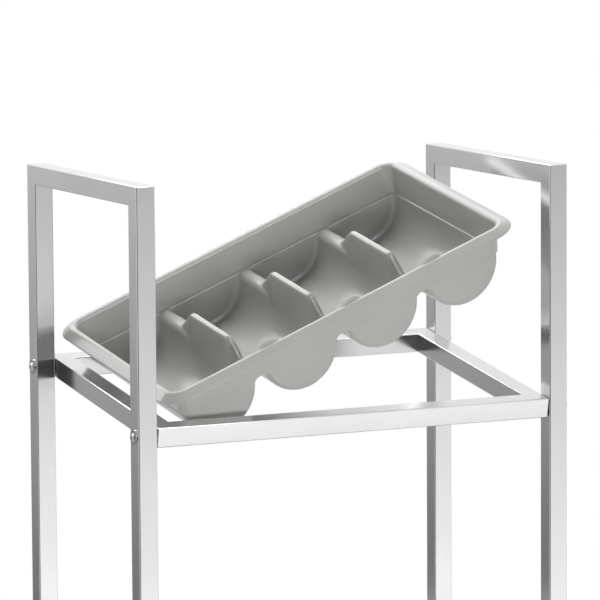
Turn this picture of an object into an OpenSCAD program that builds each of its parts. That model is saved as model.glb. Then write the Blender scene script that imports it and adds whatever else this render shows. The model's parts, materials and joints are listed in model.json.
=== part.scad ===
// Cutlery trolley: two inverted-U side frames of square tube, a sloped tray frame and a level
// shelf frame bolted between them, four swivel castors, and a loose moulded cutlery tray that is
// shown lifted at its right end. Millimetres, X to the right, Y to the back, Z up, floor at zero.

/* [Trolley] */
// Width over the two side frames
frame_w = 595; // [560:1:660]
// Depth over the two side frames
frame_d = 340; // [325:1:380]
// Height of the push handles above the floor
handle_h = 1042; // [980:1:1120]
// Height of the tray frame's front top edge
tray_frame_h = 745; // [680:1:790]
// Fall of the tray frame towards the front, in degrees
tray_frame_slope = 8.9; // [5:0.1:11]
// Height of the shelf frame's top
shelf_frame_h = 205; // [180:1:320]

/* [Square tube] */
// Side of the square tube
tube = 25; // [23:0.5:28]
// Wall of the tube
tube_wall = 1.2; // [1:0.1:1.6]
// Outer corner radius of the tube
tube_r = 2; // [1.7:0.1:3]
// Gap between a bolted frame and the posts, filled by the rivet nuts' flanges
frame_gap = 1; // [0.8:0.1:1.5]

/* [Cutlery tray] */
// Overlap of the tray's flange on each side rail when the tray is seated
rim_over_side = 15.1; // [12:0.1:18]
// Overlap of the flange on the front and the rear rail when the tray is seated
rim_over_front = 13.7; // [11.5:0.1:17]
// Wall of the moulding
tray_wall = 2.5; // [2:0.1:3]
// Width of the sloped flange, from its edge to the rim's crest
flange_w = 13.8; // [12.5:0.1:15]
// Drop of the flange's edge below the crest
flange_drop = 9; // [8:0.5:11]
// Corner radius of the flange
rim_r = 34; // [32:1:38]
// Rounding of the rim's crest
crest_r = 6.5; // [5:0.5:7.5]
// Lean of the tray's walls, in degrees
wall_draft = 12; // [10:0.5:13]
// Depth of the inside ledge that the troughs start from
ledge_depth = 38; // [37.5:0.1:38.5]
// Depth of the wall's lower edge
skirt_depth = 40.5; // [40:0.1:42]
// Depth of the tray at the bottom of the troughs
tray_depth = 90; // [88:0.5:93]
// Inset of the troughs' ends from the wall's lower edge
trough_end_inset = 3.5; // [3:0.1:4.5]
// Inset of the outer troughs from the wall's lower edge
trough_side_inset = 1.5; // [1:0.1:3]
// Space between neighbouring troughs at the wall's lower edge
trough_space = 15.4; // [14:0.1:17]
// Rounding at the ends of the troughs
trough_end_r = 6; // [5:0.5:8]
// Thickness of a divider fin at its top
fin_t = 8.4; // [7:0.1:10]
// Depth of a fin's flat top below the crest
fin_top_depth = 8.7; // [8:0.1:14]
// Length of a fin's flat top
fin_top_len = 97; // [85:1:105]
// Length of the slope at a fin's rear end
fin_rear_run = 38; // [32:1:46]
// Length of the slope at a fin's front end
fin_front_run = 17; // [12:1:25]
// Shift of a fin's flat top towards the front
fin_shift = 13; // [0:1:16]
// Width of the lugs on the front rim
lug_w = 30; // [24:1:34]
// Height of the lugs above the crest
lug_h = 8; // [5:0.5:9]
// Thickness of the lugs
lug_t = 10; // [9:0.5:11]
// Distance of each lug to the right of its fin
lug_shift = 18; // [0:1:24]
// Lift of the tray from its seat, in degrees
tray_lift = 22.8; // [18:0.1:23]
// Gap left under the flange when the tray is seated
seat_gap = 0.3; // [0.2:0.1:0.5]

/* [Shelf] */
// Thickness of the shelf sheet
sheet_t = 1.2; // [1:0.1:2]
// Depth of the sheet's folded edges inside the frame
sheet_fold = 14; // [10:1:20]
// Clearance round the folded edges
sheet_gap = 1; // [0.6:0.1:2]
// Distance of the sheet's edge from the outside of the shelf frame
sheet_edge_inset = 3; // [2:0.5:6]

/* [Screws] */
// Diameter of the frame screws
screw_d = 6; // [5:0.5:6.5]
// Length of the frame screws under the head
screw_len = 40; // [38:1:44]
// Diameter of the domed screw head
screw_head_d = 11; // [10:0.5:13]
// Height of the domed screw head
screw_head_h = 3.3; // [2.8:0.1:4]
// Width of the head's hex socket across its flats
socket_af = 4; // [3:0.5:5]
// Diameter of the washers
washer_d = 19; // [17:0.5:21]
// Thickness of the washers
washer_t = 1.6; // [1.2:0.1:2]
// Radial clearance of a screw in its holes and washer
screw_gap = 0.25; // [0.2:0.05:0.35]
// Outer diameter of a rivet nut's barrel
nut_barrel_d = 9; // [8.5:0.1:10]
// Length of a rivet nut's barrel
nut_barrel_len = 13; // [11:0.5:15]
// Diameter of a rivet nut's flange
nut_flange_d = 13; // [12:0.5:15]

/* [Castors] */
// Height of the castors, floor to the posts' lower ends
castor_h = 103; // [98:1:112]
// Diameter of the wheels
wheel_d = 75; // [70:1:78]
// Width of the tyres
tyre_w = 24; // [20:1:26]
// Thickness of the tyres
tyre_t = 8.5; // [7:0.5:10]
// Rounding of the tread's shoulders
tyre_r = 5; // [3:0.5:7]
// Distance of the wheel axle behind the swivel axis
trail = 28; // [24:1:30]
// Thickness of the fork's steel
fork_t = 3; // [2.5:0.1:3.5]
// Gap between the tyre and the fork's legs
fork_side_gap = 3; // [2:0.5:4]
// Radius of the fork's leg ends
leg_end_r = 12; // [11:0.5:14]
// Diameter of the wheel axle
axle_d = 8; // [7:0.5:9]
// Hex of the axle's head and nut, across its flats
axle_hex_af = 13; // [12:0.5:15]
// Diameter of the swivel pin
pin_d = 10; // [9:0.5:12]
// Diameter of the swivel bearing cup
cup_d = 34; // [30:1:38]
// Height of the swivel bearing cup
cup_h = 5; // [4:0.5:6]
// Radial clearance of a turning shaft
running_gap = 0.08; // [0.05:0.01:0.1]
// Gap between faces that turn on each other
face_gap = 0.2; // [0.15:0.05:0.3]
// Depth of the castor plugs in the posts
plug_depth = 38; // [30:1:45]
// Clearance of the castor plugs in the posts
plug_gap = 0.2; // [0.1:0.05:0.3]

/* [Brakes] */
// Reach of the brake pedals behind the pedal pivot
pedal_reach = 60; // [54:1:66]
// Thickness of the brake pedals
pedal_t = 4; // [3.5:0.5:5]
// Width of the pedals' foot plates
pedal_plate_w = 30; // [28:1:34]
// Length of the pedals' foot plates
pedal_plate_len = 20; // [16:1:22]
// Diameter of the pedal pins
pedal_pin_d = 5; // [4:0.5:6]
// Angle of pedal travel that brings the shoe to the tyre, in degrees
pedal_travel = 8; // [6:1:9]

/* [Hidden] */
$fn = 64;
overrun = 1;

tube_inner = tube - 2 * tube_wall;
post_x = frame_w / 2 - tube / 2;
post_y = frame_d / 2 - tube / 2;

// Tray frame, laid out on its own sloped top face
slope = tray_frame_slope;
tray_run = (frame_d - tube * sin(slope)) / cos(slope);
rail_span = frame_w - 2 * tube - 2 * frame_gap;
tray_mid_y = -tube * sin(slope) / 2;
tray_mid_z = tray_frame_h + tray_run / 2 * sin(slope);
opening_x = rail_span - 2 * tube;
opening_y = tray_run - 2 * tube;

// Heights where the frame screws cross the posts
function tray_screw_z(y) = tray_mid_z + y * tan(slope) - tube / 2 * cos(slope);
shelf_screw_z = shelf_frame_h - tube / 2;
screw_hole_r = screw_d / 2 + screw_gap;

// Tray outline
rim_len = opening_x + 2 * rim_over_side;
rim_wid = opening_y + 2 * rim_over_front;

// Rim section, with the flange's edge on X = 0 and the crest on Z = 0
edge_r = tray_wall / 2;
crest_at = [-flange_w, -crest_r];
edge_at = [-edge_r, edge_r - flange_drop];
to_edge = edge_at - crest_at;
flange_dip = atan2(-to_edge.y, to_edge.x) + asin((crest_r - edge_r) / norm(to_edge));
flange_up = [sin(flange_dip), cos(flange_dip)];
wall_in = [-cos(wall_draft), sin(wall_draft)];
function wall_inset(depth) = crest_r * cos(wall_draft)
    + (depth - crest_r * (1 - sin(wall_draft))) * tan(wall_draft);
wall_run = tray_wall / cos(wall_draft);
skirt_inset = flange_w + wall_inset(skirt_depth) - wall_run;
skirt_len = rim_len - 2 * skirt_inset;
skirt_wid = rim_wid - 2 * skirt_inset;

// Troughs
trough_count = 4;
trough_gaps = trough_count - 1;
trough_chord = (skirt_len - 2 * trough_side_inset - trough_gaps * trough_space) / trough_count;
trough_pitch = trough_chord + trough_space;
trough_sag = tray_depth - skirt_depth;
trough_r = (pow(trough_chord / 2, 2) + pow(trough_sag, 2)) / (2 * trough_sag);
trough_axis_z = trough_r - tray_depth;
trough_len = skirt_wid - 2 * trough_end_inset;
cavity_r = trough_r - tray_wall;
cavity_len = trough_len - 2 * tray_wall;

// Rounded ridge that runs tangent into both troughs, with its crown level with the ledge
crown_drop = ledge_depth + trough_axis_z;
ridge_gain = pow(trough_pitch / 2, 2) + pow(crown_drop, 2) - pow(cavity_r, 2);
ridge_r = ridge_gain / (2 * (cavity_r - crown_drop));
ridge_axis_z = -ledge_depth - ridge_r;
ridge_len = cavity_len - 2 * trough_end_r;
ridge_foot_z = ridge_axis_z + (trough_axis_z - ridge_axis_z) * ridge_r / (ridge_r + cavity_r);

// Lugs on the front rim
lug_r = (pow(lug_w / 2, 2) + pow(lug_h, 2)) / (2 * lug_h);
lug_edge_r = 4.5;
lug_in = 2.6;
lug_sink = 3.6;

// Axis that the lifted tray is lowered about, in the tray frame's top face
lift_axis = [0.142, -0.98, 0.138];
lift_pivot_out = 22.7;
lift_pivot_z = 16.6;
lift_pivot = [-frame_w / 2 - lift_pivot_out, 0, lift_pivot_z];

// Castor layout, seen with the fork trailing along minus X
fork_inner = tyre_w + 2 * fork_side_gap;
fork_outer = fork_inner + 2 * fork_t;
plug_flange_t = 3;
cup_z = castor_h - plug_flange_t - cup_h;
crown_z = cup_z - face_gap;
crown_r = 22;
pin_head_d = 18;
pin_head_h = 3.5;
leg_front_x = 20;
leg_rear_x = -36;
axle_z = wheel_d / 2;
hub_r = 11;
hub_len = fork_inner - 2 * face_gap;
rim_outer_r = wheel_d / 2 - tyre_t;
rim_t = 3;
web_t = 5;
tyre_seat_gap = 0.3;
axle_head_h = 5;
axle_nut_h = 6.5;
socket_depth_share = 0.6;

// Pedal pivot above the tyre, between the fork's legs
pedal_pivot_x = -28;
pedal_drop = 12;
pedal_pivot_z = crown_z - pedal_drop;
pedal_hub_r = 5;
pedal_arm_w = fork_inner - 2 * fork_side_gap;
pedal_side_gap = 0.3;
shoe_x = -16;
shoe_len = 10;
shoe_clear = 0.4;

castor_names = ["left_front", "left_rear", "right_front", "right_rear"];
castor_sides = [[-1, -1], [-1, 1], [1, -1], [1, 1]];
castor_pieces = ["plug", "swivel_pin", "fork", "axle", "axle_nut", "wheel", "tyre"];
braked = ["left_front", "left_rear"];
pedal_pieces = ["brake_pedal", "pedal_pin"];
side_names = ["left", "right"];

steel = [0.78, 0.78, 0.77];
screw_steel = [0.7, 0.7, 0.7];
zinc = [0.66, 0.68, 0.7];
tray_grey = [0.6, 0.6, 0.59];
plug_black = [0.12, 0.12, 0.12];
wheel_grey = [0.45, 0.46, 0.47];
tyre_grey = [0.28, 0.28, 0.29];

// Flat outlines

module rounded_square(size, r) {
    square([size, size - 2 * r], center = true);
    square([size - 2 * r, size], center = true);
    for (x = [-1, 1], y = [-1, 1]) {
        translate([x, y] * (size / 2 - r)) circle(r);
    }
}

module rounded_rectangle(length, width, r) {
    square([length, width - 2 * r], center = true);
    square([length - 2 * r, width], center = true);
    for (x = [-1, 1], y = [-1, 1]) {
        translate([x * (length / 2 - r), y * (width / 2 - r)]) circle(r);
    }
}

module tube_section() {
    difference() {
        rounded_square(tube, tube_r);
        rounded_square(tube_inner, tube_r - tube_wall);
    }
}

// Square tube along X with its outer face on Y = 0, mitred at either end
module mitred_tube(length, start, end) {
    start_cut = start ? 1 : 0;
    end_cut = end ? 1 : 0;
    intersection() {
        translate([0, tube / 2, 0]) rotate([90, 0, 90]) linear_extrude(length) tube_section();
        linear_extrude(2 * tube, center = true) polygon([
            [-start_cut * overrun, -overrun],
            [length + end_cut * overrun, -overrun],
            [length - end_cut * (tube + overrun), tube + overrun],
            [start_cut * (tube + overrun), tube + overrun]
        ]);
    }
}

// Side frames

module post(side, end) {
    color(steel) difference() {
        translate([side * post_x, end * frame_d / 2, handle_h])
            rotate([0, 90, 0]) mirror([0, end > 0 ? 1 : 0, 0])
            mitred_tube(handle_h - castor_h, true, false);
        for (z = [tray_screw_z(end * post_y), shelf_screw_z]) {
            translate([side * post_x, end * post_y, z]) rotate([0, 90, 0])
                cylinder(r = screw_hole_r, h = tube + 2 * overrun, center = true);
        }
    }
}

module handle(side) {
    color(steel) translate([side * post_x, -frame_d / 2, handle_h])
        rotate([90, 0, 90]) rotate([180, 0, 0]) mitred_tube(frame_d, true, true);
}

// Bolted frames, drawn on a top face at Z = 0

module long_rail(run, end) {
    mirror([0, end > 0 ? 1 : 0, 0]) translate([-rail_span / 2, -run / 2, -tube / 2])
        mitred_tube(rail_span, true, true);
}

// The screw holes lie at hole_y from the middle, below the rail's top by half a tube
module side_rail(run, side, hole_y) {
    mirror([side > 0 ? 1 : 0, 0, 0]) difference() {
        translate([-rail_span / 2, run / 2, -tube / 2]) rotate([0, 0, -90]) mitred_tube(run, true, true);
        for (y = [-1, 1]) {
            translate([-rail_span / 2 - overrun, y * hole_y, -tube / 2]) rotate([0, 90, 0])
                cylinder(d = nut_barrel_d + 2 * screw_gap, h = tube_wall + 2 * overrun);
        }
    }
}

module on_tray_frame() {
    translate([0, tray_mid_y, tray_mid_z]) rotate([slope, 0, 0]) children();
}

module tray_rail(where) {
    color(steel) on_tray_frame() {
        if (where == "front") long_rail(tray_run, -1);
        if (where == "rear") long_rail(tray_run, 1);
        if (where == "left") side_rail(tray_run, -1, post_y / cos(slope));
        if (where == "right") side_rail(tray_run, 1, post_y / cos(slope));
    }
}

module shelf_rail(where) {
    color(steel) translate([0, 0, shelf_frame_h]) {
        if (where == "front") long_rail(frame_d, -1);
        if (where == "rear") long_rail(frame_d, 1);
        if (where == "left") side_rail(frame_d, -1, post_y);
        if (where == "right") side_rail(frame_d, 1, post_y);
    }
}

// Sheet that lies on the shelf frame, with its four edges folded down inside the opening
module shelf_panel() {
    sheet_len = rail_span - 2 * sheet_edge_inset;
    sheet_wid = frame_d - 2 * sheet_edge_inset;
    fold_len = rail_span - 2 * tube - 2 * sheet_gap;
    fold_wid = frame_d - 2 * tube - 2 * sheet_gap;
    color(steel) translate([0, 0, shelf_frame_h]) {
        linear_extrude(sheet_t) rounded_rectangle(sheet_len, sheet_wid, tube_r);
        translate([0, 0, -sheet_fold]) linear_extrude(sheet_fold) difference() {
            rounded_rectangle(fold_len, fold_wid, 2 * sheet_t);
            rounded_rectangle(fold_len - 2 * sheet_t, fold_wid - 2 * sheet_t, sheet_t);
        }
    }
}

// Fasteners: each post takes one screw for the tray frame and one for the shelf frame

module at_each_screw() {
    for (side = [-1, 1], end = [-1, 1]) {
        for (z = [tray_screw_z(end * post_y), shelf_screw_z]) {
            translate([side * frame_w / 2, end * post_y, z]) mirror([side < 0 ? 1 : 0, 0, 0])
                rotate([0, 90, 0]) children();
        }
    }
}

module screw() {
    dome_r = (pow(screw_head_d / 2, 2) + pow(screw_head_h, 2)) / (2 * screw_head_h);
    translate([0, 0, washer_t - screw_len]) cylinder(d = screw_d, h = screw_len);
    translate([0, 0, washer_t]) difference() {
        intersection() {
            cylinder(d = screw_head_d, h = screw_head_h);
            translate([0, 0, screw_head_h - dome_r]) sphere(dome_r);
        }
        translate([0, 0, screw_head_h * (1 - socket_depth_share)])
            cylinder(d = socket_af / cos(30), h = screw_head_h, $fn = 6);
    }
}

module frame_screws() {
    color(screw_steel) at_each_screw() screw();
}

module screw_washers() {
    color(screw_steel) at_each_screw() difference() {
        cylinder(d = washer_d, h = washer_t);
        translate([0, 0, -overrun]) cylinder(r = screw_hole_r, h = washer_t + 2 * overrun);
    }
}

// The flange fills the gap between post and rail, the barrel stands inside the rail
module rivet_nuts() {
    color(zinc) at_each_screw() translate([0, 0, -tube - frame_gap]) difference() {
        union() {
            cylinder(d = nut_flange_d, h = frame_gap);
            translate([0, 0, -nut_barrel_len]) cylinder(d = nut_barrel_d, h = nut_barrel_len);
        }
        translate([0, 0, -nut_barrel_len - overrun])
            cylinder(r = screw_d / 2 + running_gap, h = nut_barrel_len + frame_gap + 2 * overrun);
    }
}

// Cutlery tray, drawn with the middle of its rim's top face at the origin

// Section of flange, crest and wall; the flange and the wall reach into the middle of the crest
module rim_section() {
    wall_foot = [-flange_w - wall_inset(skirt_depth), -skirt_depth];
    crest_inner_r = crest_r - tray_wall;
    crest_mid_r = crest_r - edge_r;
    intersection() {
        translate(crest_at) difference() {
            circle(crest_r);
            circle(crest_inner_r);
        }
        translate(crest_at) polygon(2 * crest_r * [[0, 0], flange_up, [0, 1], wall_in]);
    }
    polygon([
        crest_at + crest_r * flange_up,
        edge_at + edge_r * flange_up,
        edge_at - edge_r * flange_up,
        crest_at + crest_inner_r * flange_up,
        crest_at + [0, crest_mid_r]
    ]);
    translate(edge_at) circle(edge_r);
    polygon([
        crest_at + crest_r * wall_in,
        crest_at + crest_mid_r * [-sin(45), cos(45)],
        crest_at + crest_inner_r * wall_in,
        wall_foot + [wall_run, 0],
        wall_foot
    ]);
}

module rim_side(length, distance) {
    translate([distance, 0, 0]) rotate([90, 0, 0]) linear_extrude(length, center = true) rim_section();
}

module rim_ring() {
    for (turn = [0, 180]) {
        rotate(turn) rim_side(rim_wid - 2 * rim_r, rim_len / 2);
        rotate(turn + 90) rim_side(rim_len - 2 * rim_r, rim_wid / 2);
    }
    for (x = [0, 1], y = [0, 1]) {
        mirror([x, 0, 0]) mirror([0, y, 0]) translate([rim_len / 2 - rim_r, rim_wid / 2 - rim_r, 0])
            rotate_extrude(angle = 90) translate([rim_r, 0]) rim_section();
    }
}

// Drum along Y with rounded ends
module drum(r, length, end_r) {
    rotate([90, 0, 0]) rotate_extrude() {
        translate([0, -length / 2]) square([r - end_r, length]);
        translate([0, -length / 2 + end_r]) square([r, length - 2 * end_r]);
        for (e = [-1, 1]) translate([r - end_r, e * (length / 2 - end_r)]) circle(end_r);
    }
}

module at_each_trough() {
    for (i = [0 : trough_gaps]) {
        translate([(i - trough_gaps / 2) * trough_pitch, 0, 0]) children();
    }
}

module at_each_ridge() {
    for (i = [1 : trough_gaps]) {
        translate([(i - trough_count / 2) * trough_pitch, 0, 0]) children();
    }
}

module below(z) {
    intersection() {
        children();
        translate([-rim_len / 2, -rim_wid / 2, z - 2 * tray_depth])
            cube([rim_len, rim_wid, 2 * tray_depth]);
    }
}

// Fin with a flat rounded top and two sloped ends, whose sides run down into the troughs' walls
module fin() {
    top = overrun - fin_top_depth;
    foot_rise = -fin_top_depth - ridge_foot_z;
    front = -fin_top_len / 2 - fin_shift;
    rear = fin_top_len / 2 - fin_shift;
    front_slope = fin_front_run / (ledge_depth - fin_top_depth);
    rear_slope = fin_rear_run / (ledge_depth - fin_top_depth);
    base = trough_pitch / 2 - cavity_r;
    top_r = fin_t / 2;
    top_z = -fin_top_depth - top_r;
    rise = top_z - trough_axis_z;
    lean = atan2(base, rise) - asin(top_r / norm([base, rise]));
    shoulder = top_r * cos(lean);
    shoulder_z = top_z + top_r * sin(lean);
    intersection() {
        rotate([90, 0, 90]) linear_extrude(trough_pitch, center = true) polygon([
            [front - foot_rise * front_slope, ridge_foot_z],
            [front + overrun * front_slope, top],
            [rear - overrun * rear_slope, top],
            [rear + foot_rise * rear_slope, ridge_foot_z]
        ]);
        rotate([90, 0, 0]) linear_extrude(cavity_len, center = true) {
            polygon([
                [-base, ridge_foot_z],
                [base, ridge_foot_z],
                [base, trough_axis_z],
                [shoulder, shoulder_z],
                [-shoulder, shoulder_z],
                [-base, trough_axis_z]
            ]);
            translate([0, top_z]) circle(top_r);
        }
    }
}

// Arched wall between two troughs
module ridge() {
    intersection() {
        translate([0, 0, ridge_axis_z]) rotate([90, 0, 0]) difference() {
            cylinder(r = ridge_r, h = ridge_len, center = true);
            cylinder(r = ridge_r - tray_wall, h = ridge_len + 2 * overrun, center = true);
        }
        translate([-ridge_r, -cavity_len / 2, ridge_foot_z])
            cube([2 * ridge_r, cavity_len, -ridge_foot_z]);
    }
}

// Rounded lug that stands on the front rim, just inside its crest
module lug() {
    translate([0, flange_w - rim_wid / 2 + lug_in, 0]) intersection() {
        translate([0, 0, lug_h - lug_r]) drum(lug_r, lug_t, lug_edge_r);
        translate([-lug_w, -lug_t, -lug_sink]) cube([2 * lug_w, 2 * lug_t, lug_sink + lug_h + overrun]);
    }
}

module tray_moulding() {
    deck_inset = 2 * skirt_inset + tray_wall;
    difference() {
        union() {
            rim_ring();
            translate([0, 0, -skirt_depth]) linear_extrude(skirt_depth - ledge_depth)
                rounded_rectangle(rim_len - deck_inset, rim_wid - deck_inset, rim_r - deck_inset / 2);
            below(-(skirt_depth + ledge_depth) / 2) at_each_trough()
                translate([0, 0, trough_axis_z]) drum(trough_r, trough_len, trough_end_r + tray_wall);
        }
        below(-ledge_depth + overrun) at_each_trough()
            translate([0, 0, trough_axis_z]) drum(cavity_r, cavity_len, trough_end_r);
        at_each_ridge() translate([-ridge_r, -ridge_len / 2, -skirt_depth])
            cube([2 * ridge_r, ridge_len, skirt_depth - ledge_depth + overrun]);
    }
    at_each_ridge() {
        ridge();
        fin();
        translate([lug_shift, 0, 0]) lug();
    }
}

module cutlery_tray() {
    color(tray_grey) on_tray_frame() translate(lift_pivot) rotate(tray_lift, lift_axis)
        translate(-lift_pivot) translate([0, 0, flange_drop + seat_gap]) tray_moulding();
}

// Castors, drawn with the swivel axis on Z and the wheel trailing along minus X

module at_castor(i) {
    translate([castor_sides[i].x * post_x, castor_sides[i].y * post_y, 0]) children();
}

module castor_plug() {
    plug_side = tube_inner - 2 * plug_gap;
    color(plug_black) difference() {
        union() {
            translate([0, 0, castor_h]) linear_extrude(plug_depth)
                rounded_square(plug_side, tube_r - tube_wall);
            translate([0, 0, castor_h - plug_flange_t]) linear_extrude(plug_flange_t)
                rounded_square(tube, tube_r);
        }
        translate([0, 0, castor_h - plug_flange_t - overrun])
            cylinder(r = pin_d / 2 + running_gap, h = plug_depth + plug_flange_t + 2 * overrun);
    }
}

// Pin with the bearing cup above the fork and a riveted head below it
module castor_swivel_pin() {
    head_top = crown_z - fork_t - face_gap;
    color(zinc) {
        translate([0, 0, head_top]) cylinder(d = pin_d, h = castor_h + plug_depth - head_top);
        translate([0, 0, cup_z]) cylinder(d = cup_d, h = cup_h);
        translate([0, 0, head_top - pin_head_h]) cylinder(d = pin_head_d, h = pin_head_h);
    }
}

module fork_leg() {
    rotate([90, 0, 0]) linear_extrude(fork_t, center = true) {
        polygon([
            [leg_rear_x, crown_z],
            [leg_front_x, crown_z],
            [leg_end_r - trail, axle_z],
            [-leg_end_r - trail, axle_z]
        ]);
        translate([-trail, axle_z]) circle(leg_end_r);
    }
}

module castor_fork(has_brake) {
    color(zinc) difference() {
        union() {
            translate([0, 0, crown_z - fork_t]) linear_extrude(fork_t) {
                circle(crown_r);
                translate([leg_rear_x, -fork_outer / 2]) square([leg_front_x - leg_rear_x, fork_outer]);
            }
            for (y = [-1, 1]) translate([0, y * (fork_outer - fork_t) / 2, 0]) fork_leg();
        }
        translate([0, 0, crown_z - fork_t - overrun])
            cylinder(r = pin_d / 2 + running_gap, h = fork_t + 2 * overrun);
        translate([-trail, 0, axle_z]) rotate([90, 0, 0])
            cylinder(d = axle_d, h = fork_outer + 2 * overrun, center = true);
        if (has_brake) {
            translate([pedal_pivot_x, 0, pedal_pivot_z]) rotate([90, 0, 0])
                cylinder(d = pedal_pin_d, h = fork_outer + 2 * overrun, center = true);
        }
    }
}

module castor_axle() {
    shank = fork_outer + axle_nut_h + face_gap;
    color(zinc) translate([-trail, -fork_outer / 2, axle_z]) rotate([-90, 0, 0]) {
        cylinder(r = axle_d / 2 - running_gap, h = shank);
        translate([0, 0, -axle_head_h]) cylinder(d = axle_hex_af / cos(30), h = axle_head_h, $fn = 6);
    }
}

module castor_axle_nut() {
    color(zinc) translate([-trail, fork_outer / 2, axle_z]) rotate([-90, 0, 0]) difference() {
        cylinder(d = axle_hex_af / cos(30), h = axle_nut_h, $fn = 6);
        translate([0, 0, -overrun]) cylinder(d = axle_d, h = axle_nut_h + 2 * overrun);
    }
}

// Hub, web and rim in one revolved section
module castor_wheel() {
    rim_w = tyre_w - 2 * rim_t;
    color(wheel_grey) translate([-trail, 0, axle_z]) rotate([90, 0, 0]) rotate_extrude() {
        translate([axle_d / 2, -hub_len / 2]) square([hub_r - axle_d / 2, hub_len]);
        translate([axle_d / 2, -web_t / 2]) square([rim_outer_r - axle_d / 2, web_t]);
        translate([rim_outer_r - rim_t, -rim_w / 2]) square([rim_t, rim_w]);
    }
}

module castor_tyre() {
    seat_r = rim_outer_r + tyre_seat_gap;
    color(tyre_grey) translate([-trail, 0, axle_z]) rotate([90, 0, 0]) rotate_extrude() difference() {
        union() {
            translate([0, -tyre_w / 2]) square([wheel_d / 2 - tyre_r, tyre_w]);
            translate([0, -tyre_w / 2 + tyre_r]) square([wheel_d / 2, tyre_w - 2 * tyre_r]);
            for (y = [-1, 1]) translate([wheel_d / 2 - tyre_r, y * (tyre_w / 2 - tyre_r)]) circle(tyre_r);
        }
        translate([-overrun, -tyre_w]) square([seat_r + overrun, 2 * tyre_w]);
    }
}

// Pedal, drawn at its pivot: hub, arm, foot plate, and the shoe whose sole clears the tyre until pressed
module castor_brake_pedal() {
    to_axle_x = -trail - pedal_pivot_x;
    to_axle_z = axle_z - pedal_pivot_z;
    color(plug_black) translate([pedal_pivot_x, 0, pedal_pivot_z]) difference() {
        union() {
            rotate([90, 0, 0])
                cylinder(r = pedal_hub_r, h = fork_inner - 2 * pedal_side_gap, center = true);
            translate([-pedal_reach, -pedal_arm_w / 2, pedal_hub_r - pedal_t])
                cube([pedal_reach, pedal_arm_w, pedal_t]);
            translate([-pedal_reach, -pedal_plate_w / 2, pedal_hub_r - pedal_t])
                cube([pedal_plate_len, pedal_plate_w, pedal_t]);
            difference() {
                translate([shoe_x - shoe_len, -pedal_arm_w / 2, to_axle_z])
                    cube([shoe_len, pedal_arm_w, pedal_hub_r - pedal_t / 2 - to_axle_z]);
                rotate([0, pedal_travel, 0]) translate([to_axle_x, 0, to_axle_z]) rotate([90, 0, 0])
                    cylinder(r = wheel_d / 2 + shoe_clear, h = pedal_arm_w + 2 * overrun, center = true);
            }
        }
        rotate([90, 0, 0]) cylinder(r = pedal_pin_d / 2 + running_gap, h = fork_outer, center = true);
    }
}

module castor_pedal_pin() {
    color(zinc) translate([pedal_pivot_x, 0, pedal_pivot_z]) rotate([90, 0, 0])
        cylinder(r = pedal_pin_d / 2 - running_gap / 2, h = fork_outer, center = true);
}

post(-1, -1);  // left_front_post
post(-1, 1);  // left_rear_post
handle(-1);  // left_handle
post(1, -1);  // right_front_post
post(1, 1);  // right_rear_post
handle(1);  // right_handle
for (r = ["front", "rear", "left", "right"]) {
    tray_rail(r);
    shelf_rail(r);
}
shelf_panel();
frame_screws();
screw_washers();
rivet_nuts();
cutlery_tray();
for (i = [0 : len(castor_names) - 1]) {
    name = castor_names[i];
    has_brake = [for (b = braked) if (b == name) b] != [];
    at_castor(i) castor_plug();
    at_castor(i) castor_swivel_pin();
    at_castor(i) castor_fork(has_brake);
    at_castor(i) castor_axle();
    at_castor(i) castor_axle_nut();
    at_castor(i) castor_wheel();
    at_castor(i) castor_tyre();
    at_castor(i) castor_brake_pedal();
    at_castor(i) castor_pedal_pin();
}
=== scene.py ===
import json
import math
import bpy
import bmesh
from mathutils import Matrix, Vector


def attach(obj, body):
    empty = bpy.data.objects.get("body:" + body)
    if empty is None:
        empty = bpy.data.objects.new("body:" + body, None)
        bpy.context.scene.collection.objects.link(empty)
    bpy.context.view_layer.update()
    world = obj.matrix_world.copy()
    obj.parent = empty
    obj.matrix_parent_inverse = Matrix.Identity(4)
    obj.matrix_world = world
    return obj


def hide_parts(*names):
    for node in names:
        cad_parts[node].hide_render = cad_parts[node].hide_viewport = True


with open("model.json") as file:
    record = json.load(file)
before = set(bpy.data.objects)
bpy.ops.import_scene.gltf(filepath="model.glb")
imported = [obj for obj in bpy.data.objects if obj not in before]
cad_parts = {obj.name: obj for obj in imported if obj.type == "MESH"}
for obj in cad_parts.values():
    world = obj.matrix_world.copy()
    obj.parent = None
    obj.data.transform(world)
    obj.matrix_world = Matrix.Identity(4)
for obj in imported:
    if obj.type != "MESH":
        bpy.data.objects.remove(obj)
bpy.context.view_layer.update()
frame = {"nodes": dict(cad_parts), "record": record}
nodes = frame["nodes"]
print("frame loaded:", len(nodes), "nodes")

# sizes that several pieces share, in metres
trolley = {
    "width": 0.595,         # over the side frames
    "depth": 0.340,
    "handleTop": 1.042,
    "postFoot": 0.103,      # the castor plugs start here
    "tube": 0.025,
    "tubeEdge": 0.0013,     # rounding of the tube's long edges
    "tubeEdgeSteps": 4,
    "postGap": 0.001,       # between a bolted frame and the posts
    "trayFrameTop": 0.745,  # front edge of the sloped frame
    "traySlope": 8.9,       # degrees, falls to the front
    "shelfFrameTop": 0.205,
}
slope = math.radians(trolley["traySlope"])
trayRun = (trolley["depth"] - trolley["tube"] * math.sin(slope)) / math.cos(slope)
trayPlane = (
    Matrix.Translation((
        0,
        -trolley["tube"] * math.sin(slope) / 2,
        trolley["trayFrameTop"] + trayRun / 2 * math.sin(slope),
    ))
    @ Matrix.Rotation(slope, 4, "X")
)


def srgb(code):
    values = [int(code[i:i + 2], 16) / 255 for i in (1, 3, 5)]
    linear = [v / 12.92 if v <= 0.04045 else ((v + 0.055) / 1.055) ** 2.4 for v in values]
    return (*linear, 1)


white = srgb("#FFFFFF")


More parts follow.
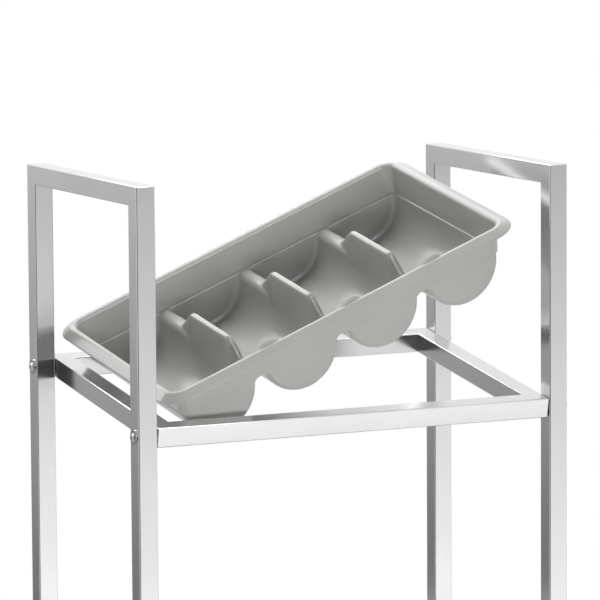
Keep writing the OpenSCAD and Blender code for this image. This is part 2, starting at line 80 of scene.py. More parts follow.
# adds a node with its settings, the links or values of its inputs and the stops of a colour ramp
def addNode(tree, kind, inputs=None, stops=(), **settings):
    node = tree.nodes.new(kind)
    for name, value in settings.items():
        setattr(node, name, value)
    for name, value in (inputs or {}).items():
        if isinstance(value, bpy.types.NodeSocket):
            tree.links.new(value, node.inputs[name])
        else:
            node.inputs[name].default_value = value
    for i, (place, code) in enumerate(stops):
        node.color_ramp.elements[i].position = place
        node.color_ramp.elements[i].color = srgb(code)
    return node


def newMaterial(name):
    material = bpy.data.materials.new(name)
    material.use_nodes = True
    material.node_tree.nodes.clear()
    return material, material.node_tree


noiseSpan = (0.3, 0.7)  # nearly all values of a noise lie between these


# stainless steel tube, belt-ground along its length: long fine scratches that smear
# reflections sideways and keep them sharp lengthwise
def groundStainless(name, settings):
    material, tree = newMaterial(name)
    grain = addNode(tree, "ShaderNodeUVMap", uv_map="grain").outputs["UV"]
    scale = (1000 / settings["scratchLength"], 1000 / settings["scratchWidth"], 1)
    stretched = addNode(tree, "ShaderNodeMapping", {
        "Vector": grain, "Scale": scale,
    }).outputs["Vector"]
    scratches = addNode(tree, "ShaderNodeTexNoise", {
        "Vector": stretched, "Scale": 1.0, "Detail": 3.0, "Roughness": 0.6,
    }).outputs["Fac"]
    place = addNode(tree, "ShaderNodeTexCoord").outputs["Object"]
    cloud = addNode(tree, "ShaderNodeTexNoise", {
        "Vector": place, "Scale": 1000 / settings["cloudSize"], "Detail": 2.0,
    }).outputs["Fac"]
    rough = addNode(tree, "ShaderNodeMapRange", {
        "Value": scratches, "From Min": noiseSpan[0], "From Max": noiseSpan[1],
        "To Min": settings["roughness"][0], "To Max": settings["roughness"][1],
    }).outputs["Result"]
    colour = addNode(tree, "ShaderNodeValToRGB", {"Fac": cloud},
                     stops=zip(noiseSpan, settings["colours"])).outputs["Color"]
    bump = addNode(tree, "ShaderNodeBump", {
        "Height": scratches, "Strength": settings["bump"],
        "Distance": settings["scratchDepth"] / 1000,
    }).outputs["Normal"]
    along = addNode(
        tree, "ShaderNodeTangent", direction_type="UV_MAP", uv_map="grain").outputs["Tangent"]
    shader = addNode(tree, "ShaderNodeBsdfPrincipled", {
        "Base Color": colour, "Metallic": 1.0, "Roughness": rough, "Normal": bump,
        "Anisotropic": settings["smear"], "Anisotropic Rotation": 0.25, "Tangent": along,
    })
    addNode(tree, "ShaderNodeOutputMaterial", {"Surface": shader.outputs["BSDF"]})
    return material


# steel as sheet, turned or plated parts: a cloud in colour and polish, which is drawn out
# along x on a brushed sheet
def smoothMetal(name, settings):
    material, tree = newMaterial(name)
    place = addNode(tree, "ShaderNodeTexCoord").outputs["Object"]
    scale = [1000 / size for size in settings["cloudSize"]]
    drawn = addNode(tree, "ShaderNodeMapping", {
        "Vector": place, "Scale": scale,
    }).outputs["Vector"]
    cloud = addNode(tree, "ShaderNodeTexNoise", {
        "Vector": drawn, "Scale": 1.0, "Detail": 4.0,
    }).outputs["Fac"]
    rough = addNode(tree, "ShaderNodeMapRange", {
        "Value": cloud, "From Min": noiseSpan[0], "From Max": noiseSpan[1],
        "To Min": settings["roughness"][0], "To Max": settings["roughness"][1],
    }).outputs["Result"]
    colour = addNode(tree, "ShaderNodeValToRGB", {"Fac": cloud},
                     stops=zip(noiseSpan, settings["colours"])).outputs["Color"]
    shader = addNode(tree, "ShaderNodeBsdfPrincipled", {
        "Base Color": colour, "Metallic": 1.0, "Roughness": rough,
    })
    addNode(tree, "ShaderNodeOutputMaterial", {"Surface": shader.outputs["BSDF"]})
    return material


# moulded thermoplastic or rubber: fine pits from the mould over a slow drift of colour
def moulded(name, settings):
    material, tree = newMaterial(name)
    place = addNode(tree, "ShaderNodeTexCoord").outputs["Object"]
    drift = addNode(tree, "ShaderNodeTexNoise", {
        "Vector": place, "Scale": 1000 / settings["driftSize"], "Detail": 2.0,
    }).outputs["Fac"]
    pits = addNode(tree, "ShaderNodeTexNoise", {
        "Vector": place, "Scale": 1000 / settings["pitSize"], "Detail": 2.0,
    }).outputs["Fac"]
    rough = addNode(tree, "ShaderNodeMapRange", {
        "Value": drift, "From Min": noiseSpan[0], "From Max": noiseSpan[1],
        "To Min": settings["roughness"][0], "To Max": settings["roughness"][1],
    }).outputs["Result"]
    colour = addNode(tree, "ShaderNodeValToRGB", {"Fac": drift},
                     stops=zip(noiseSpan, settings["colours"])).outputs["Color"]
    bump = addNode(tree, "ShaderNodeBump", {
        "Height": pits, "Strength": settings["bump"], "Distance": settings["pitDepth"] / 1000,
    }).outputs["Normal"]
    shader = addNode(tree, "ShaderNodeBsdfPrincipled", {
        "Base Color": colour, "Roughness": rough, "Normal": bump, "IOR": settings["ior"],
    })
    addNode(tree, "ShaderNodeOutputMaterial", {"Surface": shader.outputs["BSDF"]})
    return material


# finishes, with sizes in millimetres
# real scratches are about 0.1 mm wide; they are drawn wider so that they show in the render
tubeSteel = groundStainless("groundStainlessTube", {
    "scratchLength": 70.0, "scratchWidth": 0.7, "scratchDepth": 0.03, "cloudSize": 90.0,
    "roughness": (0.15, 0.22), "bump": 0.08, "smear": 0.5, "colours": ("#D8D8D8", "#DCDCDC"),
})
# bright turned heads and washers, nearly even
screwSteel = smoothMetal("turnedStainless", {
    "cloudSize": (6.0, 6.0, 6.0), "roughness": (0.1, 0.16), "colours": ("#B0B0B0", "#BCBCBC"),
})
# cold-rolled sheet brushed along x: a broad dull sheen with fine streaks
sheetSteel = smoothMetal("brushedStainlessSheet", {
    "cloudSize": (60.0, 0.8, 0.8), "roughness": (0.4, 0.5), "colours": ("#969696", "#A2A2A2"),
})
# pressed steel with bright zinc: bluish and cloudy
zincPlate = smoothMetal("brightZincPlate", {
    "cloudSize": (9.0, 9.0, 9.0), "roughness": (0.26, 0.4), "colours": ("#B4B9BE", "#C6C9CC"),
})
# warm light grey with a satin gloss, so that crests and fillets carry thin highlights
trayPlastic = moulded("mouldedPolypropylene", {
    "driftSize": 120.0, "pitSize": 0.9, "pitDepth": 0.02, "ior": 1.49,
    "roughness": (0.17, 0.22), "bump": 0.05, "colours": ("#ACACAA", "#B1B1AF"),
})
# near black with a fine grain
plugNylon = moulded("blackNylon", {
    "driftSize": 20.0, "pitSize": 0.6, "pitDepth": 0.03, "ior": 1.53,
    "roughness": (0.45, 0.55), "bump": 0.3, "colours": ("#1C1C1D", "#232324"),
})
# plain mid grey wheel centres
wheelNylon = moulded("greyPolyamide", {
    "driftSize": 25.0, "pitSize": 0.8, "pitDepth": 0.03, "ior": 1.53,
    "roughness": (0.4, 0.5), "bump": 0.2, "colours": ("#6E7073", "#787A7C"),
})
# dull dark tread that leaves no marks
tyreRubber = moulded("greyRubber", {
    "driftSize": 14.0, "pitSize": 0.7, "pitDepth": 0.04, "ior": 1.52,
    "roughness": (0.6, 0.75), "bump": 0.35, "colours": ("#45464A", "#505155"),
})
print("materials made")


def linkToScene(name, data):
    holder = bpy.data.objects.new(name, data)
    bpy.context.scene.collection.objects.link(holder)
    return holder


def meshFrom(bm, name, materials):
    mesh = bpy.data.meshes.new(name)
    bm.to_mesh(mesh)
    bm.free()
    for material in materials:
        mesh.materials.append(material)
    return mesh


# broad flat faces keep their own normal, so that the rounded edges beside them do not bend it
broadFace = 0.008  # metres, the shortest side of such a face


def finishPiece(bm, name, body, replaced, material, sharpAngle=40.0):
    bmesh.ops.recalc_face_normals(bm, faces=bm.faces)
    for face in bm.faces:
        face.smooth = min(edge.calc_length() for edge in face.edges) < broadFace
    limit = math.radians(sharpAngle)
    for edge in bm.edges:
        edge.smooth = len(edge.link_faces) != 2 or edge.calc_face_angle() < limit
    piece = linkToScene(name, meshFrom(bm, name, [material]))
    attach(piece, body)
    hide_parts(*replaced)


def addRing(bm, points):
    verts = [bm.verts.new(p) for p in points]
    return [bm.edges.new((verts[i - 1], verts[i])) for i in range(len(verts))]


def bridgeRings(bm, rings, closed=False):
    pairs = list(zip(rings, rings[1:]))
    if closed:
        pairs.append((rings[-1], rings[0]))
    for first, second in pairs:
        bmesh.ops.bridge_loops(bm, edges=first + second)


# rounds the tube's long edges and the outer corners that were ground after welding
def roundTubeEdges(bm, mitreEdges):
    keep = set(mitreEdges)
    squareEdge = 1.0  # radians, well below the tube's right angles
    edges = [
        e for e in bm.edges
        if e not in keep and e.is_manifold and e.calc_face_angle() > squareEdge
    ]
    bmesh.ops.bevel(
        bm, geom=edges, offset=trolley["tubeEdge"], offset_type="OFFSET", affect="EDGES",
        segments=trolley["tubeEdgeSteps"], profile=0.5, material=-1)


# writes the grain map: u runs along the tube that a face belongs to
def mapGrain(bm, alongAxis):
    grain = bm.loops.layers.uv.new("grain")
    for face in bm.faces:
        axis = alongAxis(face.calc_center_median())
        for loop in face.loops:
            p = loop.vert.co
            loop[grain].uv = (p[axis], p[(axis + 1) % 3] + p[(axis + 2) % 3])


# side frames: each inverted U is one welded and ground piece
def makeSideFrame(sideName, side):
    half, tube = trolley["tube"] / 2, trolley["tube"]
    middle = side * (trolley["width"] / 2 - half)
    reach, top, foot = trolley["depth"] / 2, trolley["handleTop"], trolley["postFoot"]
    corners = [
        ((-reach, foot), (-reach + tube, foot)),
        ((-reach, top), (-reach + tube, top - tube)),
        ((reach, top), (reach - tube, top - tube)),
        ((reach, foot), (reach - tube, foot)),
    ]
    bm = bmesh.new()
    rings = []
    for outer, inner in corners:
        rings.append(addRing(bm, [
            (middle - half, *outer), (middle + half, *outer),
            (middle + half, *inner), (middle - half, *inner),
        ]))
    bridgeRings(bm, rings)
    inside = [ring[i] for ring in rings[1:3] for i in (0, 2, 3)]
    bmesh.ops.holes_fill(bm, edges=[e for e in bm.edges if e.is_boundary])
    feet = rings[0] + rings[3]
    roundTubeEdges(bm, inside + feet)
    mapGrain(bm, lambda p: 1 if top - p.z < reach - abs(p.y) else 2)
    tubes = [sideName + "_" + part for part in ("front_post", "rear_post", "handle")]
    finishPiece(bm, sideName + "SideFrame", "trolley_frame", tubes, tubeSteel)


makeSideFrame("left", -1)
makeSideFrame("right", 1)
print("side frames made")


# bolted frames: a mitred rectangle of tube, drawn below the plane that place puts in the trolley
def makeBoltedFrame(name, run, place, prefix):
    tube = trolley["tube"]
    halfX = trolley["width"] / 2 - tube - trolley["postGap"]
    halfY = run / 2
    bm = bmesh.new()
    rings = []
    for x, y in ((-1, -1), (1, -1), (1, 1), (-1, 1)):
        outer, inner = (x * halfX, y * halfY), (x * (halfX - tube), y * (halfY - tube))
        rings.append(addRing(bm, [(*outer, 0), (*outer, -tube), (*inner, -tube), (*inner, 0)]))
    bridgeRings(bm, rings, closed=True)
    inside = [ring[i] for ring in rings for i in (0, 2, 3)]
    roundTubeEdges(bm, inside)
    mapGrain(bm, lambda p: 1 if halfX - abs(p.x) < halfY - abs(p.y) else 0)
    bmesh.ops.transform(bm, matrix=place, verts=bm.verts)
    rails = [prefix + "_" + where for where in ("front", "rear", "left", "right")]
    finishPiece(bm, name, "trolley_frame", rails, tubeSteel)


shelfPlane = Matrix.Translation((0, 0, trolley["shelfFrameTop"]))
makeBoltedFrame("trayFrame", trayRun, trayPlane, "tray_frame")
makeBoltedFrame("shelfFrame", trolley["depth"], shelfPlane, "shelf_frame")
print("bolted frames made")

# cutlery tray, in millimetres about the middle of its rim until it is put in place
tray = {
    "length": 523.2, "width": 317.63, "corner": 34.0, "wall": 2.5,
    "flange": 13.8,         # from the flange's edge in to the crest
    "drop": 9.0,            # of the flange's edge below the crest
    "crest": 6.5,           # rounding of the crest
    "draft": 12.0,          # lean of the walls in degrees
    "ledge": 38.0, "ledgeFillet": 0.5,
    "skirt": 40.5, "skirtFillet": 2.5,
    "troughs": 4, "pitch": 121.34, "axis": -36.91,
    "radius": 50.59,        # inside of a trough
    "troughEnd": 128.3,     # inside faces of the trough ends
    "endFillet": 6.0, "endEdge": 2.8, "sideEdge": 1.4,
    "underEdge": 0.4,       # below, where a trough's end meets the skirt
    "finTop": 8.7, "finHalf": 5.0, "finFront": -61.5, "finRear": 35.5,
    "frontRun": 17.0, "rearRun": 38.0, "finSoft": 4.0,
    "finFoot": 2.4,         # blend of a fin into its ridge
    "finReach": 0.2,        # share of half the pitch that a fin may take up
    "lugWidth": 32.0, "lugHeight": 9.0, "lugThick": 10.0, "lugInside": 7.5, "lugShift": 17.0,
    # how the loose tray is held up: its right end is lifted about a slanted axis just beyond
    # the tray frame's left end
    "lift": {
        "angle": 22.8, "axis": (0.142, -0.98, 0.138), "pivot": (-320.2, 0.0, 16.6), "seat": 9.3,
    },
    # how finely the mesh is divided
    "mesh": {
        "corner": 12, "lug": 9,
        "foot": 4, "underCrest": 6, "lip": 10, "flange": 9, "crest": 16, "ledge": 4,
        "troughStep": 5.0,  # degrees round a trough
        "rowStep": 2.6,     # along a trough
        "endFillet": 8, "endEdge": 5,
        "endFace": 0.01,    # how far a trough's end face leans
        # shares of the way from a ridge's middle to a trough, and over the outer edge
        "ridgeLines": (0.11, 0.22, 0.33, 0.4, 0.52, 0.66, 0.8, 0.92),
        "edgeLines": (0.25, 0.5, 0.75, 1),
    },
}
trayLift, trayMesh = tray["lift"], tray["mesh"]
halfPitch = tray["pitch"] / 2
troughPlaces = [(i - (tray["troughs"] - 1) / 2) * tray["pitch"] for i in range(tray["troughs"])]
ridgePlaces = [(i - tray["troughs"] / 2) * tray["pitch"] for i in range(1, tray["troughs"])]
draft = math.radians(tray["draft"])
lipRadius = tray["wall"] / 2
flangeRun, flangeFall = tray["flange"] - lipRadius, tray["drop"] - lipRadius - tray["crest"]
flangeDip = math.atan2(flangeFall, flangeRun) + math.asin(
    (tray["crest"] - lipRadius) / math.hypot(flangeRun, flangeFall))


def arc(cx, cz, r, start, stop, steps):
    angles = [math.radians(start + (stop - start) * i / steps) for i in range(steps + 1)]
    return [(cx + r * math.cos(a), cz + r * math.sin(a)) for a in angles]


# inset of the wall's inner face at a depth
def wallInset(depth):
    bend = tray["crest"]
    fall = depth - bend * (1 - math.sin(draft))
    return tray["flange"] + bend * math.cos(draft) + fall * math.tan(draft)


# rim section from the skirt's foot, round the flange and over the crest, down to the inside
# ledge: rings under the rim and rings on top, each (inset, height)
def rimSection():
    wall, flange, crest, lean = tray["wall"], tray["flange"], tray["crest"], tray["draft"]
    dip = 90 + math.degrees(flangeDip)
    foot, fillet = tray["skirtFillet"], tray["ledgeFillet"]
    footInset = wallInset(tray["skirt"] - foot) + (foot - wall) / math.cos(draft)
    under = arc(footInset, -tray["skirt"] + foot, foot, 270, 180 + lean, trayMesh["foot"])
    under += arc(flange, -crest, crest - wall, lean, dip, trayMesh["underCrest"])
    under += arc(lipRadius, lipRadius - tray["drop"], lipRadius, dip + 180, dip, trayMesh["lip"])
    crestRings = arc(flange, -crest, crest, dip, lean, trayMesh["crest"])
    flangeRings = []
    for i in range(1, trayMesh["flange"]):
        share = i / trayMesh["flange"]
        flangeRings.append(tuple(a + (b - a) * share for a, b in zip(under[-1], crestRings[0])))
    ledgeInset = wallInset(tray["ledge"] - fillet) + fillet / math.cos(draft)
    ledgeRings = arc(
        ledgeInset, -tray["ledge"] + fillet, fillet, 180 + lean, 270, trayMesh["ledge"])
    return under, flangeRings + crestRings + ledgeRings


# rise of the three rounded lugs that grow out of the front rim
def lugRise(x, inset):
    half, height = tray["lugWidth"] / 2, tray["lugHeight"]
    radius = (half ** 2 + height ** 2) / (2 * height)
    reach = min(abs(x - place - tray["lugShift"]) for place in ridgePlaces)
    if reach >= half:
        return 0
    across = abs(inset - tray["flange"] - tray["lugInside"]) / (tray["lugThick"] / 2)
    share = max(1 - across ** 2, 0) ** 0.5
    return share * (height - radius + math.sqrt(radius ** 2 - reach ** 2))


def outlineRing(bm, inset, z, raised):
    steps, lugSteps = trayMesh["corner"], trayMesh["lug"]
    shiftX, shiftY = tray["length"] / 2 - tray["corner"], tray["width"] / 2 - tray["corner"]
    r = tray["corner"] - inset
    points = []
    for quarter, (sx, sy) in enumerate(((1, 1), (-1, 1), (-1, -1), (1, -1))):
        for i in range(steps + 1):
            a = math.radians(90 * (quarter + i / steps))
            points.append((sx * shiftX + r * math.cos(a), sy * shiftY + r * math.sin(a), z))
        if sx < 0 and sy < 0:
            front = inset - tray["width"] / 2
            for place in ridgePlaces:
                for k in range(-lugSteps, lugSteps + 1):
                    along = math.sin(math.radians(90 * k / lugSteps))
                    x = place + tray["lugShift"] + tray["lugWidth"] / 2 * along
                    points.append((x, front, z + (lugRise(x, inset) if raised else 0)))
    return addRing(bm, points)


def smoothMax(a, b, soft):
    h = max(soft - abs(a - b), 0) / soft
    return max(a, b) + h * h * soft / 4


def smoothMin(a, b, soft):
    return -smoothMax(-a, -b, soft)


# drum radius at a distance from its rounded end
def drumRadius(radius, fillet, t):
    if t >= fillet:
        return radius
    return radius - fillet + math.sqrt(fillet ** 2 - (fillet - max(t, 0)) ** 2)


# height of a fin at a distance from its middle plane: a rounded edge that falls at both ends,
# leaning sides
def finHeight(u, y):
    half, soft = tray["finHalf"], tray["finSoft"]
    fall = tray["finTop"] + half + tray["axis"]
    foot = halfPitch - tray["radius"]
    lean = math.atan2(foot, -fall) - math.asin(half / math.hypot(foot, fall))
    rise = tray["ledge"] - tray["finTop"]
    front = (y - tray["finFront"]) * rise / tray["frontRun"]
    rear = (tray["finRear"] - y) * rise / tray["rearRun"]
    crest = smoothMin(smoothMin(front, rear, soft), 0, soft) - tray["finTop"]
    shoulder = half * math.cos(lean)
    if u < shoulder:
        return crest - half + math.sqrt(half ** 2 - u ** 2)
    return crest - half + half * math.sin(lean) - (u - shoulder) / math.tan(lean)


# height of the troughs of one radius and the rounded ridges between them, which rise to a level
def troughHeight(x, r, level):
    axis, edge = tray["axis"], tray["sideEdge"]
    dx = min(abs(x - place) for place in troughPlaces)
    drum = axis - math.sqrt(max(r * r - dx * dx, 0))
    if abs(x) > troughPlaces[-1]:
        centre = level - edge
        reach = math.sqrt((r + edge) ** 2 - (centre - axis) ** 2)
        if dx >= reach:
            return level
        if dx > reach * r / (r + edge):
            return centre + math.sqrt(max(edge ** 2 - (reach - dx) ** 2, 0))
        return drum
    u = halfPitch - dx
    crown = axis - level
    ridge = (halfPitch ** 2 + crown ** 2 - r * r) / (2 * (r - crown))
    if u < halfPitch * ridge / (ridge + r):
        return level - ridge + math.sqrt(ridge ** 2 - u * u)
    return drum


# cross positions at a drum radius: lines round each trough, over each ridge and at the outer
# edges
def sheetColumns(r, level):
    edge, lines = tray["sideEdge"], trayMesh["ridgeLines"]
    reach = math.sqrt((r + edge) ** 2 - (level - edge - tray["axis"]) ** 2)
    steps = round(90 / trayMesh["troughStep"])
    outer = [troughPlaces[-1] + r + (reach - r) * share for share in trayMesh["edgeLines"]]
    columns = [-x for x in reversed(outer)]
    for middle in troughPlaces:
        for k in range(-steps, steps + 1):
            columns.append(middle + r * math.sin(math.radians(k * trayMesh["troughStep"])))
        if middle < troughPlaces[-1]:
            for share in [-s for s in reversed(lines)] + [0, *lines]:
                columns.append(middle + halfPitch + share * (halfPitch - r))
    return columns + outer


# distances of the sheet's lines from the middle: along the drum, round its end, over the edge
def sheetRows(end, fillet, edge):
    rows = []
    y = 0.0
    while y < end - fillet - trayMesh["rowStep"] / 2:
        rows.append(y)
        y += trayMesh["rowStep"]
    for k in range(trayMesh["endFillet"] + 1):
        rows.append(end - fillet * (1 - math.sin(math.radians(90 * k / trayMesh["endFillet"]))))
    brink = end + trayMesh["endFace"]
    for k in range(trayMesh["endEdge"] + 1):
        rows.append(brink + edge * (1 - math.cos(math.radians(90 * k / trayMesh["endEdge"]))))
    return [-y for y in reversed(rows[1:])] + rows


# a grid whose lines are moved to the columns and rows, then lowered into troughs and raised
# to fins
def troughSheet(bm, radius, fillet, end, level, edge, fins):
    rows = sheetRows(end, fillet, edge)
    count = len(sheetColumns(radius, level))
    made = bmesh.ops.create_grid(
        bm, x_segments=count - 1, y_segments=len(rows) - 1, size=1)["verts"]
    lines = []
    for y in rows:
        r = drumRadius(radius, fillet, end - abs(y))
        lines.append((y, r, sheetColumns(r, level)))
    for vert in made:
        y, r, columns = lines[round((vert.co.y + 1) / 2 * (len(rows) - 1))]
        x = columns[round((vert.co.x + 1) / 2 * (count - 1))]
        z = troughHeight(x, r, level)
        past = abs(y) - end
        if past > 0:
            # the straight end wall and the rounding over its top
            z = max(z, level - edge + math.sqrt(max(edge ** 2 - max(edge - past, 0) ** 2, 0)))
        if fins and abs(x) < troughPlaces[-1]:
            u = min(abs(x - place) for place in ridgePlaces)
            if u < halfPitch * tray["finReach"]:
                z = smoothMax(z, finHeight(u, y), tray["finFoot"])
        vert.co = (x, y, z)
    return made


def closeTo(bm, ring, sheet):
    rim = {e for v in sheet for e in v.link_edges if e.is_boundary}
    bmesh.ops.triangle_fill(bm, edges=list(rim) + ring, use_beauty=True)


def makeTray():
    bm = bmesh.new()
    under, over = rimSection()
    rings = [outlineRing(bm, inset, z, False) for inset, z in under]
    rings += [outlineRing(bm, inset, z, True) for inset, z in over]
    bridgeRings(bm, rings)
    wall, radius, fillet, end = (tray[k] for k in ("wall", "radius", "endFillet", "troughEnd"))
    inside = troughSheet(bm, radius, fillet, end, -tray["ledge"], tray["endEdge"], True)
    closeTo(bm, rings[-1], inside)
    outside = troughSheet(
        bm, radius + wall, fillet + wall, end + wall, -tray["skirt"], tray["underEdge"], False)
    closeTo(bm, rings[0], outside)
    pivot = Vector(trayLift["pivot"])
    lifted = (
        Matrix.Translation(pivot)
        @ Matrix.Rotation(math.radians(trayLift["angle"]), 4, Vector(trayLift["axis"]))
        @ Matrix.Translation(Vector((0, 0, trayLift["seat"])) - pivot)
    )
    toMetres = Matrix.Scale(0.001, 4)
    bmesh.ops.transform(bm, matrix=trayPlane @ toMetres @ lifted, verts=bm.verts)
    bmesh.ops.remove_doubles(bm, verts=bm.verts, dist=0.000001)
    finishPiece(
        bm, "cutleryTray", "tray", ["cutlery_tray"], trayPlastic, sharpAngle=60)


makeTray()
print("tray made")

# carried-over solids and their finishes
finishes = {
    "tube_steel": tubeSteel, "sheet_steel": sheetSteel, "fastener_steel": screwSteel,
    "zinc_steel": zincPlate, "tray_plastic": trayPlastic, "plug_plastic": plugNylon,
    "wheel_plastic": wheelNylon, "tyre_rubber": tyreRubber,
}
for subpart in frame["record"]["subparts"]:
    solid = nodes[subpart["node"]]
    solid.data.materials.clear()
    solid.data.materials.append(finishes[subpart["material_slot"]])
print("finishes given to the carried-over solids")

# studio: a pale painted floor that runs out into a white surround. The top and the low front lamp
# light the object and do not show in the steel; the sheen lamp and the small one beside the camera
# do, as highlights. The cards are seen in reflections only: they give the steel its light and dark
# faces, and the strip draws the fine lines on the tray's lip and fillets. A strength of 1 is white
studio = {
    "floorRadius": 2.6, "floorSides": 96,
    "paint": ("#E4E4E2", "#EAEAE8"), "paintCloud": 667.0,  # millimetres
    "paintFade": (1.1, 2.47),                # the paint fades to white between these radii
    "lightAbove": 0.12, "lightBelow": 0.42,  # what the surround gives as a source of light
    "horizon": (-0.05, 0.2),                 # it changes from below to above between these
    "aim": (0, 0, 0.8),
    "lamps": {
        "top": {
            "place": (0.1, 0.9, 2.6), "size": (1.4, 1.7), "power": 55.0, "mirrored": False},
        "sheen": {
            "place": (0.1, 0.95, 2.4), "size": (1.6, 1.7), "power": 15.0, "mirrored": True},
        "besideCamera": {
            "place": (-1.1, -2.3, 1.8), "size": (0.25, 0.25), "power": 2.0, "mirrored": True},
        "lowFront": {
            "place": (-0.2, -2.4, 0.6), "size": (1.6, 0.3), "power": 30.0, "mirrored": False},
    },
    # strengths at a card's lower and upper edge; flat ones lie level
    "cards": {
        "backLeft": {
            "place": (-1.2, 1.75, 0.55), "size": (2.8, 1.1), "strengths": (0.14, 0.76)},
        "frontRight": {
            "place": (1.05, -2.2, 0.55), "size": (2.0, 1.1), "strengths": (1.28, 0.4)},
        "frontLeft": {
            "place": (-1.55, -2.6, 1.5), "size": (3.8, 3.0), "strengths": (0.03, 0.05)},
        "leftFloor": {
            "place": (-1.1, -1.8, 0.02), "size": (1.7, 1.8), "strengths": (0.04, 0.04),
            "flat": True},
        "aboveLeft": {
            "place": (-1.3, 1.7, 2.2), "size": (1.4, 1.2), "strengths": (5.5, 5.5),
            "flat": True},
        "frontFloor": {
            "place": (0.7, -1.9, 0.02), "size": (1.8, 0.8), "strengths": (1.5, 1.5),
            "flat": True},
        "strip": {
            "place": (0.1, -1.9, 1.95), "size": (0.9, 0.9), "strengths": (7.0, 7.0)},
    },
}


# white where it is seen directly, in reflections or through something, and the given strength
# as a source of light
def whiteStrength(tree, given):
    light = addNode(tree, "ShaderNodeLightPath").outputs
    seen = light["Is Camera Ray"]
    for ray in ("Is Glossy Ray", "Is Transmission Ray"):
        seen = addNode(tree, "ShaderNodeMath", {0: seen, 1: light[ray]},
                       operation="MAXIMUM").outputs["Value"]
    return addNode(tree, "ShaderNodeMapRange", {
        "Value": seen, "To Min": given, "To Max": 1.0,
    }).outputs["Result"]


def facing(place, aim):
    return (Vector(aim) - Vector(place)).to_track_quat("-Z", "Y").to_matrix().to_4x4()


def makeSurround():
    world = bpy.data.worlds.new("whiteSurround")
    bpy.context.scene.world = world
    world.use_nodes = True
    tree = world.node_tree
    tree.nodes.clear()
    direction = addNode(tree, "ShaderNodeTexCoord").outputs["Generated"]
    height = addNode(tree, "ShaderNodeSeparateXYZ", {"Vector": direction}).outputs["Z"]
    given = addNode(tree, "ShaderNodeMapRange", {
        "Value": height, "From Min": studio["horizon"][0], "From Max": studio["horizon"][1],
        "To Min": studio["lightBelow"], "To Max": studio["lightAbove"],
    }).outputs["Result"]
    background = addNode(tree, "ShaderNodeBackground", {
        "Color": white, "Strength": whiteStrength(tree, given),
    })
    addNode(tree, "ShaderNodeOutputWorld", {"Surface": background.outputs["Background"]})


def makeFloor():
    material, tree = newMaterial("paintedFloor")
    place = addNode(tree, "ShaderNodeTexCoord").outputs["Object"]
    cloud = addNode(tree, "ShaderNodeTexNoise", {
        "Vector": place, "Scale": 1000 / studio["paintCloud"],
    }).outputs["Fac"]
    colour = addNode(tree, "ShaderNodeValToRGB", {"Fac": cloud},
                     stops=zip(noiseSpan, studio["paint"])).outputs["Color"]
    paint = addNode(tree, "ShaderNodeBsdfDiffuse", {"Color": colour})
    glow = addNode(tree, "ShaderNodeEmission", {
        "Color": white, "Strength": whiteStrength(tree, studio["lightBelow"]),
    })
    away = addNode(tree, "ShaderNodeVectorMath", {0: place}, operation="LENGTH").outputs["Value"]
    fade = addNode(tree, "ShaderNodeMapRange", {
        "Value": away, "From Min": studio["paintFade"][0], "From Max": studio["paintFade"][1],
    }, interpolation_type="SMOOTHSTEP").outputs["Result"]
    mixed = addNode(tree, "ShaderNodeMixShader", {
        "Fac": fade, 1: paint.outputs["BSDF"], 2: glow.outputs["Emission"],
    })
    addNode(tree, "ShaderNodeOutputMaterial", {"Surface": mixed.outputs["Shader"]})
    bm = bmesh.new()
    bmesh.ops.create_circle(
        bm, cap_ends=True, segments=studio["floorSides"], radius=studio["floorRadius"])
    linkToScene("studioFloor", meshFrom(bm, "studioFloor", [material]))


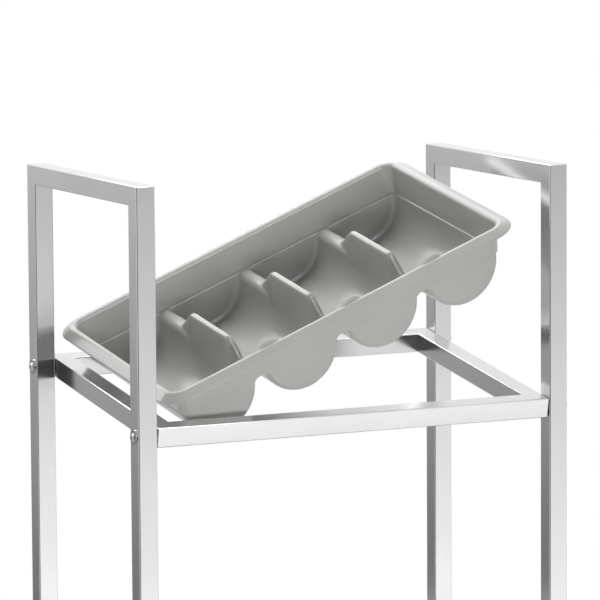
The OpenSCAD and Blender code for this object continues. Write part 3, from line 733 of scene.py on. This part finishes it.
# a card that is seen in reflections only, evenly graded from its lower to its upper edge
def makeCard(name, card):
    width, height = card["size"]
    middle = card["place"][2]
    material, tree = newMaterial(name)
    place = addNode(tree, "ShaderNodeTexCoord").outputs["Object"]
    level = addNode(tree, "ShaderNodeSeparateXYZ", {"Vector": place}).outputs["Z"]
    strength = addNode(tree, "ShaderNodeMapRange", {
        "Value": level, "From Min": middle - height / 2, "From Max": middle + height / 2,
        "To Min": card["strengths"][0], "To Max": card["strengths"][1],
    }).outputs["Result"]
    glow = addNode(tree, "ShaderNodeEmission", {"Color": white, "Strength": strength})
    addNode(tree, "ShaderNodeOutputMaterial", {"Surface": glow.outputs["Emission"]})
    bm = bmesh.new()
    bmesh.ops.create_grid(bm, x_segments=1, y_segments=1, size=0.5)
    bmesh.ops.scale(bm, vec=(width, height, 1), verts=bm.verts)
    turned = Matrix() if card.get("flat") else facing(card["place"], (0, 0, middle))
    bmesh.ops.transform(bm, matrix=Matrix.Translation(card["place"]) @ turned, verts=bm.verts)
    holder = linkToScene(name, meshFrom(bm, name, [material]))
    holder.visible_camera = False
    holder.visible_shadow = False
    holder.visible_diffuse = False


def makeLamp(name, lamp):
    data = bpy.data.lights.new(name, "AREA")
    data.energy = lamp["power"]
    data.shape = "RECTANGLE"
    data.size, data.size_y = lamp["size"]
    holder = linkToScene(name, data)
    holder.matrix_world = Matrix.Translation(lamp["place"]) @ facing(lamp["place"], studio["aim"])
    holder.visible_camera = False
    holder.visible_glossy = lamp["mirrored"]


makeSurround()
makeFloor()
for cardName, cardSettings in studio["cards"].items():
    makeCard(cardName + "Card", cardSettings)
for lampName, lampSettings in studio["lamps"].items():
    makeLamp(lampName + "Lamp", lampSettings)
print("studio made")

# camera at the photograph's place: solved from the tube edges, image taken as square
camera = {
    "place": (-2.69039, -5.54148, 1.62453),
    "turn": -25.933, "tip": -6.998, "roll": 0.366,  # degrees
    "lens": 293.38, "sensor": 36.0, "farthest": 50.0,
}


def makeCamera():
    data = bpy.data.cameras.new("photoCamera")
    data.lens = camera["lens"]
    data.sensor_width = camera["sensor"]
    data.clip_end = camera["farthest"]
    holder = linkToScene("photoCamera", data)
    turn, tip, roll = (math.radians(camera[k]) for k in ("turn", "tip", "roll"))
    holder.matrix_world = (
        Matrix.Translation(camera["place"])
        @ Matrix.Rotation(turn, 4, "Z")
        @ Matrix.Rotation(tip, 4, "X")
        @ Matrix.Rotation(roll, 4, "Y")
        @ Matrix.Rotation(math.radians(90), 4, "X")
    )
    bpy.context.scene.camera = holder


makeCamera()
bpy.context.scene.view_settings.view_transform = "Standard"
print("camera made")
